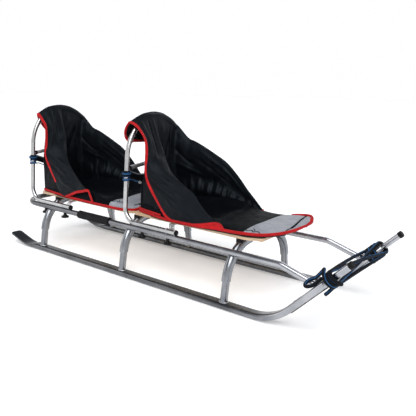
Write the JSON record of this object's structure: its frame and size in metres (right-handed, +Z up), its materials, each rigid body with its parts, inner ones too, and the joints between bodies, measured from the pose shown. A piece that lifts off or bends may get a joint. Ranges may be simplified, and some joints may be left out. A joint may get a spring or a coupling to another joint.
{
  "type": "tandem sled",
  "caption": "Tandem children's sled with ski-shaped tube runners on bent arches, fabric bucket seats on hooped backrests, and a tow rope wound round the runner tips.",
  "frame": {"origin": "on the floor, under the centre of the sled's length and width", "axes": "+X forward, the way the sled travels; +Y to the rider's left; +Z up"},
  "size_m": [1.3413, 0.3925, 0.5081],
  "materials": {
    "frame_steel": "satin bright plated tube, slightly streaky",
    "hoop_steel": "satin bright tube",
    "black_plastic": "moulded satin black",
    "grip_foam": "matte foam sleeve",
    "plywood": "clear-lacquered plywood, layered edge",
    "black_nylon": "woven nylon with red bound edges",
    "rope_black": "braided cord with a blue tracer"
  },
  "bodies": {
    "root": {"runner_left": "frame_steel", "runner_right": "frame_steel", "runner_tip_caps": "black_plastic", "arch_rear": "frame_steel", "arch_middle": "frame_steel", "arch_front": "frame_steel", "side_rail_left": "frame_steel", "side_rail_right": "frame_steel", "rear_cross_tube": "frame_steel", "rail_grips": "grip_foam", "seat_board_rear": "plywood", "seat_board_front": "plywood", "board_brackets": "frame_steel", "hoop_rear": "hoop_steel", "hoop_front": "hoop_steel", "hoop_end_caps": "black_plastic", "hoop_crossbar_rear": "hoop_steel", "hoop_crossbar_front": "hoop_steel", "clamp_knobs": "black_plastic", "lashing_rear": "rope_black", "lashing_front": "rope_black", "seat_pad_rear": "black_nylon", "seat_pad_front": "black_nylon", "back_panel_rear": "black_nylon", "back_panel_front": "black_nylon", "hood_rear": "black_nylon", "hood_front": "black_nylon", "wing_left_rear": "black_nylon", "wing_right_rear": "black_nylon", "wing_left_front": "black_nylon", "wing_right_front": "black_nylon", "tow_rope_hank": "rope_black", "tow_rope_bight": "rope_black"}
  },
  "joints": []
}
